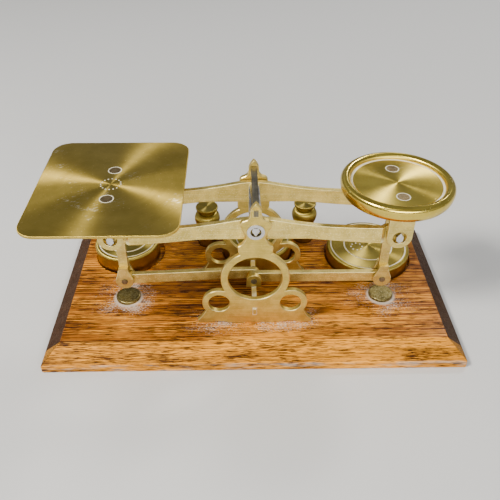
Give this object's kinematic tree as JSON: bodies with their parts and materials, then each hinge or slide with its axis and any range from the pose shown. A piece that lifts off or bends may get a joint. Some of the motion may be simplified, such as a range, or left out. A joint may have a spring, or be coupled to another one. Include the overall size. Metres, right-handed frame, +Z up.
{
  "type": "letter scale",
  "caption": "Tabletop letter scale: rocking brass beam on knife edges, flat letter plate and round pan, with loose weights seated in a bevelled wooden base.",
  "frame": {"origin": "middle of the wooden base's underside, on the surface it stands on", "axes": "+X along the length towards the round pan, +Y to the back, +Z up"},
  "size_m": [0.235, 0.124, 0.094],
  "materials": {
    "wood": "oiled and waxed, open pores along the length",
    "frame_brass": "cast plates, filed and polished faces, bright edges",
    "beam_brass": "cast skin, fine grained satin",
    "carrier_brass": "bent strip, satin with polished edges",
    "plate_brass": "rolled sheet, brushed in circles, light scratches",
    "pan_brass": "turned and polished",
    "rivet_brass": "filed flush",
    "weight_brass": "turned, darkened in the grooves",
    "bronze": "dark flat studs, rough skin",
    "steel": "darkened with age",
    "knife_steel": "hardened and ground bright"
  },
  "bodies": {
    "base": {"base_board": "wood", "frame_plate_front": "frame_brass", "frame_plate_rear": "frame_brass", "fulcrum_bush_front": "knife_steel", "fulcrum_bush_rear": "knife_steel", "tie_bar_upper": "steel", "tie_bar_lower": "frame_brass", "tie_washers": "beam_brass", "stay_lug": "frame_brass", "centre_pin": "steel", "stop_pad_left": "bronze", "stop_pad_right": "bronze"},
    "beam": {"beam_bar_front": "beam_brass", "beam_bar_rear": "beam_brass", "fulcrum_knife": "knife_steel", "end_knives_left": "knife_steel", "end_knives_right": "knife_steel"},
    "carrier_left": {"carrier_strap_left": "carrier_brass", "carrier_stem_left": "carrier_brass", "foot_pin_left": "steel", "letter_plate": "plate_brass", "letter_rivets": "rivet_brass"},
    "carrier_right": {"carrier_strap_right": "carrier_brass", "carrier_stem_right": "carrier_brass", "foot_pin_right": "steel", "weight_pan": "pan_brass", "pan_rivets": "rivet_brass"},
    "stay_left": {"stay_left": "beam_brass"},
    "stay_right": {"stay_right": "beam_brass"},
    "weight_right_body": {"weight_right": "weight_brass"},
    "weight_left_body": {"weight_left": "weight_brass"},
    "weight_rear_body": {"weight_rear": "weight_brass"},
    "weight_small_left_body": {"weight_small_left": "weight_brass"},
    "weight_small_right_body": {"weight_small_right": "weight_brass"}
  },
  "joints": [
    {"name": "beam_rock", "type": "hinge", "parent": "base", "child": "beam", "pos_m": [0, -0.014, 0.0734], "axis": [0, 1, 0], "range_deg": [-6.2, 6.2]},
    {"name": "carrier_left_hinge", "type": "hinge", "parent": "beam", "child": "carrier_left", "pos_m": [-0.075, -0.014, 0.0734], "axis": [0, 1, 0], "range_deg": [-6.2, 6.2]},
    {"name": "carrier_right_hinge", "type": "hinge", "parent": "beam", "child": "carrier_right", "pos_m": [0.075, -0.014, 0.0734], "axis": [0, 1, 0], "range_deg": [-6.2, 6.2]},
    {"name": "stay_left_hinge", "type": "hinge", "parent": "base", "child": "stay_left", "pos_m": [0, -0.014, 0.0275], "axis": [0, 1, 0], "range_deg": [-6.2, 6.2]},
    {"name": "stay_right_hinge", "type": "hinge", "parent": "base", "child": "stay_right", "pos_m": [0, -0.014, 0.0275], "axis": [0, 1, 0], "range_deg": [-6.2, 6.2]},
    {"name": "weight_right_lift", "type": "slide", "parent": "base", "child": "weight_right_body", "axis": [0, 0, 1], "range_m": [0, 0.03]},
    {"name": "weight_left_lift", "type": "slide", "parent": "base", "child": "weight_left_body", "axis": [0, 0, 1], "range_m": [0, 0.04]},
    {"name": "weight_rear_lift", "type": "slide", "parent": "base", "child": "weight_rear_body", "axis": [0, 0, 1], "range_m": [0, 0.04]},
    {"name": "weight_small_left_lift", "type": "slide", "parent": "base", "child": "weight_small_left_body", "axis": [0, 0, 1], "range_m": [0, 0.04]},
    {"name": "weight_small_right_lift", "type": "slide", "parent": "base", "child": "weight_small_right_body", "axis": [0, 0, 1], "range_m": [0, 0.04]}
  ],
  "couplings": [
    {"joint": "carrier_left_hinge", "follows": "beam_rock", "ratio": -1},
    {"joint": "carrier_right_hinge", "follows": "beam_rock", "ratio": -1},
    {"joint": "stay_left_hinge", "follows": "beam_rock", "ratio": 1},
    {"joint": "stay_right_hinge", "follows": "beam_rock", "ratio": 1}
  ]
}
